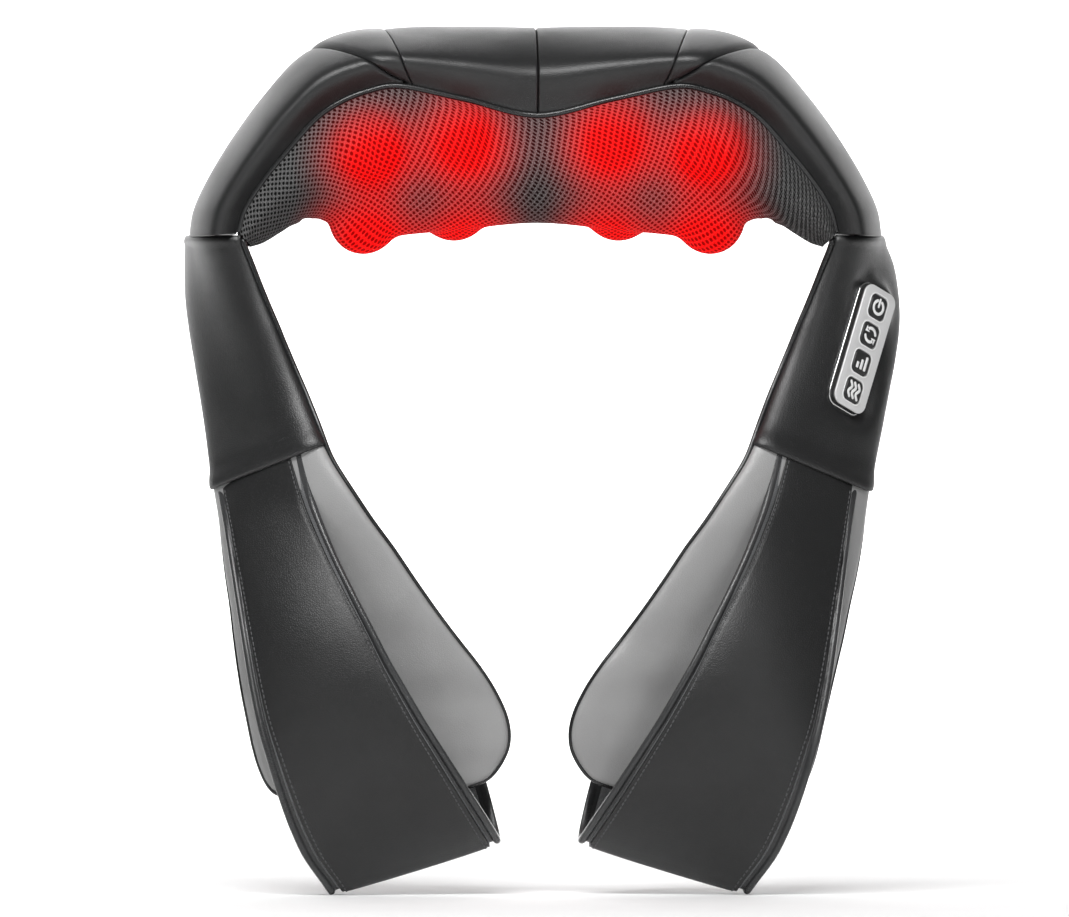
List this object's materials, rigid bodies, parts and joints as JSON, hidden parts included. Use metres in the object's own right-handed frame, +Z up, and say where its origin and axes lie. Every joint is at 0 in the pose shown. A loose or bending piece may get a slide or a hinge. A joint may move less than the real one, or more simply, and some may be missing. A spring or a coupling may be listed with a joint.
{
  "type": "neck massager",
  "caption": "Padded horseshoe shiatsu neck massager with rotating node heads under a mesh panel, spreading arms, hand straps and a key panel.",
  "frame": {"origin": "the point on the middle of the massage mesh that the nape rests on", "axes": "+Z up through the collar with the arms hanging down, +X to the right of somebody facing the mesh, -Y towards them"},
  "size_m": [0.4203, 0.1758, 0.5054],
  "materials": {
    "black_leather": "satin",
    "grey_leather": "satin",
    "lining": "woven",
    "mesh": "open knit",
    "piping": "gloss",
    "foam": "open cell",
    "backbone": "moulded",
    "gearbox": "moulded",
    "motor": "plated",
    "worm_steel": "turned",
    "gear_plastic": "moulded",
    "carrier": "moulded",
    "node_rubber": "soft touch",
    "lamp": "clear red",
    "housing": "moulded",
    "bezel": "silver paint",
    "button": "moulded",
    "board": "solder mask"
  },
  "bodies": {
    "collar": {"neck_cover_center_left": "black_leather", "neck_cover_center_right": "black_leather", "corner_gusset_left": "black_leather", "corner_gusset_right": "black_leather", "side_cover_left": "black_leather", "side_cover_right": "black_leather", "massage_mesh": "mesh", "neck_piping": "piping", "neck_foam": "foam", "backbone_plate": "backbone", "gearbox_case_left": "gearbox", "gearbox_case_right": "gearbox", "gearbox_cover_left": "gearbox", "gearbox_cover_right": "gearbox", "motor_left": "motor", "motor_right": "motor", "head_axle_left": "worm_steel", "head_axle_right": "worm_steel", "heat_lamp_left": "lamp", "heat_lamp_right": "lamp"},
    "right_head": {"head_carrier_right": "carrier", "worm_wheel_right": "gear_plastic", "node_upper_inner_right": "node_rubber", "node_upper_outer_right": "node_rubber", "node_lower_inner_right": "node_rubber", "node_lower_outer_right": "node_rubber"},
    "left_head": {"head_carrier_left": "carrier", "worm_wheel_left": "gear_plastic", "node_upper_inner_left": "node_rubber", "node_upper_outer_left": "node_rubber", "node_lower_inner_left": "node_rubber", "node_lower_outer_left": "node_rubber"},
    "right_worm": {"worm_right": "worm_steel"},
    "left_worm": {"worm_left": "worm_steel"},
    "right_arm": {"shoulder_cover_right": "black_leather", "arm_foam_right": "foam", "arm_pad_right": "grey_leather", "arm_back_right": "black_leather", "arm_piping_right": "piping", "hand_strap_right": "black_leather", "strap_lining_right": "lining", "control_housing": "housing", "control_bezel": "bezel", "control_board": "board", "power_jack": "housing"},
    "left_arm": {"shoulder_cover_left": "black_leather", "arm_foam_left": "foam", "arm_pad_left": "grey_leather", "arm_back_left": "black_leather", "arm_piping_left": "piping", "hand_strap_left": "black_leather", "strap_lining_left": "lining"},
    "power_key": {"button_power": "button"},
    "direction_key": {"button_direction": "button"},
    "speed_key": {"button_speed": "button"},
    "heat_key": {"button_heat": "button"}
  },
  "joints": [
    {"name": "right_head_spin", "type": "hinge", "parent": "collar", "child": "right_head", "pos_m": [0.07899, 0.02601, 0.01569], "axis": [-0.2756, -0.7626, -0.5852], "continuous": true, "deforming": ["massage_mesh"]},
    {"name": "left_head_spin", "type": "hinge", "parent": "collar", "child": "left_head", "pos_m": [-0.07899, 0.02601, 0.01569], "axis": [0.2756, -0.7626, -0.5852], "continuous": true, "deforming": ["massage_mesh"]},
    {"name": "right_worm_spin", "type": "hinge", "parent": "collar", "child": "right_worm", "pos_m": [0.07827, 0.02403, 0.04253], "axis": [-0.9405, 0.3399, 0], "continuous": true},
    {"name": "left_worm_spin", "type": "hinge", "parent": "collar", "child": "left_worm", "pos_m": [-0.07827, 0.02403, 0.04253], "axis": [0.9405, 0.3399, 0], "continuous": true},
    {"name": "right_arm_spread", "type": "hinge", "parent": "collar", "child": "right_arm", "pos_m": [0.189, 0.045, -0.045], "axis": [0, -1, 0], "range_deg": [-2.5, 30], "stiffness_Nm_per_rad": 5, "springref_deg": -1.34, "deforming": ["shoulder_cover_right", "arm_piping_right"]},
    {"name": "left_arm_spread", "type": "hinge", "parent": "collar", "child": "left_arm", "pos_m": [-0.189, 0.045, -0.045], "axis": [0, 1, 0], "range_deg": [-2.5, 30], "stiffness_Nm_per_rad": 5, "springref_deg": -1.34, "deforming": ["shoulder_cover_left", "arm_piping_left"]},
    {"name": "power_press", "type": "slide", "parent": "right_arm", "child": "power_key", "axis": [-0.6776, 0.7354, 0], "range_m": [0, 0.0006], "stiffness_N_per_m": 900},
    {"name": "direction_press", "type": "slide", "parent": "right_arm", "child": "direction_key", "axis": [-0.6776, 0.7354, 0], "range_m": [0, 0.0006], "stiffness_N_per_m": 900},
    {"name": "speed_press", "type": "slide", "parent": "right_arm", "child": "speed_key", "axis": [-0.6776, 0.7354, 0], "range_m": [0, 0.0006], "stiffness_N_per_m": 900},
    {"name": "heat_press", "type": "slide", "parent": "right_arm", "child": "heat_key", "axis": [-0.6776, 0.7354, 0], "range_m": [0, 0.0006], "stiffness_N_per_m": 900}
  ],
  "couplings": [
    {"joint": "left_head_spin", "follows": "right_head_spin", "ratio": -1},
    {"joint": "right_worm_spin", "follows": "right_head_spin", "ratio": -24},
    {"joint": "left_worm_spin", "follows": "right_head_spin", "ratio": 24}
  ]
}
